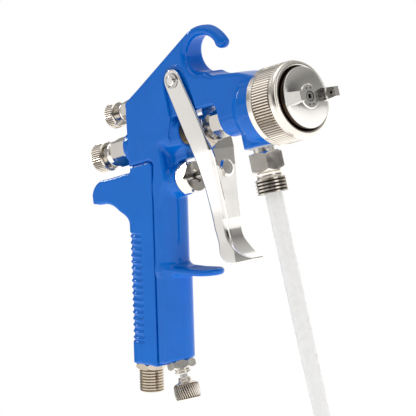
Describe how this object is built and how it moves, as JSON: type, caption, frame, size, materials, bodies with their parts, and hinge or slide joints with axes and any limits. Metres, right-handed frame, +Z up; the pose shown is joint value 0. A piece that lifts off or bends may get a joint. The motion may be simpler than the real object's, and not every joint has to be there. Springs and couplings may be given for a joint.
{
  "type": "hvlp spray gun",
  "caption": "Hand-held air spray gun with a blue cast body, hanging hook, nickel trigger, domed air cap with horns, siphon tube and adjusting knobs.",
  "frame": {"origin": "centre of the mouth of the fluid inlet, where the cup lid's nut screws on", "axes": "+X forward along the spray direction, +Y to the gun's left, +Z up"},
  "size_m": [0.1739, 0.041, 0.23],
  "materials": {
    "body_enamel": "glossy royal blue enamel on cast aluminium",
    "grip_plastic": "semi-gloss royal blue moulded plastic",
    "nickel": "bright nickel plate",
    "trigger_nickel": "satin-bright nickel plate on steel",
    "knurled_nickel": "nickel plate over knurled brass",
    "brass": "machined brass",
    "steel_spring": "stainless steel",
    "seal_white": "white PTFE",
    "seal_rubber": "black rubber",
    "tube_plastic": "milky white polyethylene tube"
  },
  "bodies": {
    "frame": {"gun_body": "body_enamel", "rear_grip_cover": "grip_plastic", "fluid_nozzle": "steel_spring", "nozzle_gasket": "seal_white", "air_distributor": "brass", "fluid_inlet_nipple": "nickel", "inlet_washer": "seal_white", "siphon_tube": "tube_plastic", "packing_nut": "nickel", "needle_packing": "seal_white", "needle_bushing": "brass", "needle_spring": "steel_spring", "spring_housing": "nickel", "pattern_bushing": "nickel", "air_valve_nut": "nickel", "air_valve_seal": "seal_rubber", "air_valve_spring": "steel_spring", "pivot_pin": "nickel", "pivot_clip": "steel_spring", "air_inlet_nipple": "nickel", "flow_bushing": "nickel"},
    "trigger": {"trigger": "trigger_nickel", "valve_stud": "nickel"},
    "needle": {"fluid_needle": "steel_spring", "needle_collar": "nickel", "spring_cup": "brass"},
    "air_valve": {"air_valve_stem": "steel_spring"},
    "cap_carrier": {"cap_snap_ring": "steel_spring"},
    "ring": {"retaining_ring": "knurled_nickel"},
    "cap": {"air_cap": "nickel"},
    "fluid_screw": {"spring_rear_seat": "brass"},
    "fluid_adjuster": {"fluid_knob": "knurled_nickel"},
    "pattern_spindle": {"pattern_stem_seal": "seal_rubber", "pattern_stem": "steel_spring"},
    "pattern_adjuster": {"pattern_knob": "knurled_nickel"},
    "flow_spindle": {"flow_stem": "nickel", "flow_stem_seal": "seal_rubber"},
    "flow_adjuster": {"flow_knob": "knurled_nickel"}
  },
  "joints": [
    {"name": "trigger_pull", "type": "hinge", "parent": "frame", "child": "trigger", "pos_m": [-0.0456, 0, 0.0701], "axis": [0, 1, 0], "range_deg": [0, 9], "stiffness_Nm_per_rad": 3, "springref_deg": -8.59},
    {"name": "needle_travel", "type": "slide", "parent": "frame", "child": "needle", "axis": [-1, 0, 0], "range_m": [0, 0.0049], "deforming": ["needle_spring"]},
    {"name": "air_valve_travel", "type": "slide", "parent": "frame", "child": "air_valve", "axis": [-1, 0, 0], "range_m": [0, 0.0083], "deforming": ["air_valve_spring"]},
    {"name": "fluid_screw_travel", "type": "slide", "parent": "frame", "child": "fluid_screw", "axis": [1, 0, 0], "range_m": [-0.0021, 0.0011]},
    {"name": "fluid_knob_turn", "type": "hinge", "parent": "fluid_screw", "child": "fluid_adjuster", "pos_m": [-0.118, 0, 0.0426], "axis": [1, 0, 0], "range_deg": [-720, 360]},
    {"name": "pattern_screw_travel", "type": "slide", "parent": "frame", "child": "pattern_spindle", "axis": [1, 0, 0], "range_m": [-0.0021, 0.0011]},
    {"name": "pattern_knob_turn", "type": "hinge", "parent": "pattern_spindle", "child": "pattern_adjuster", "pos_m": [-0.1025, 0, 0.0628], "axis": [1, 0, 0], "range_deg": [-720, 360]},
    {"name": "flow_screw_travel", "type": "slide", "parent": "frame", "child": "flow_spindle", "axis": [0, 0, 1], "range_m": [-0.0021, 0.0011]},
    {"name": "flow_knob_turn", "type": "hinge", "parent": "flow_spindle", "child": "flow_adjuster", "pos_m": [-0.0943, 0, -0.0904], "axis": [0, 0, 1], "range_deg": [-720, 360]},
    {"name": "ring_screw_travel", "type": "slide", "parent": "frame", "child": "cap_carrier", "axis": [1, 0, 0], "range_m": [-0.0001, 0.0031]},
    {"name": "retaining_ring_turn", "type": "hinge", "parent": "cap_carrier", "child": "ring", "pos_m": [0.025, 0, 0.0426], "axis": [1, 0, 0], "range_deg": [0, 720]},
    {"name": "air_cap_turn", "type": "hinge", "parent": "cap_carrier", "child": "cap", "pos_m": [0.03, 0, 0.0426], "axis": [1, 0, 0], "range_deg": [-90, 90]}
  ],
  "couplings": [
    {"joint": "needle_travel", "follows": "trigger_pull", "m_per_rad": 0.0308},
    {"joint": "air_valve_travel", "follows": "trigger_pull", "m_per_rad": 0.0524},
    {"joint": "fluid_screw_travel", "follows": "fluid_knob_turn", "m_per_rad": 0.00015915},
    {"joint": "pattern_screw_travel", "follows": "pattern_knob_turn", "m_per_rad": 0.00015915},
    {"joint": "flow_screw_travel", "follows": "flow_knob_turn", "m_per_rad": 0.00015915},
    {"joint": "ring_screw_travel", "follows": "retaining_ring_turn", "m_per_rad": 0.00023873}
  ]
}
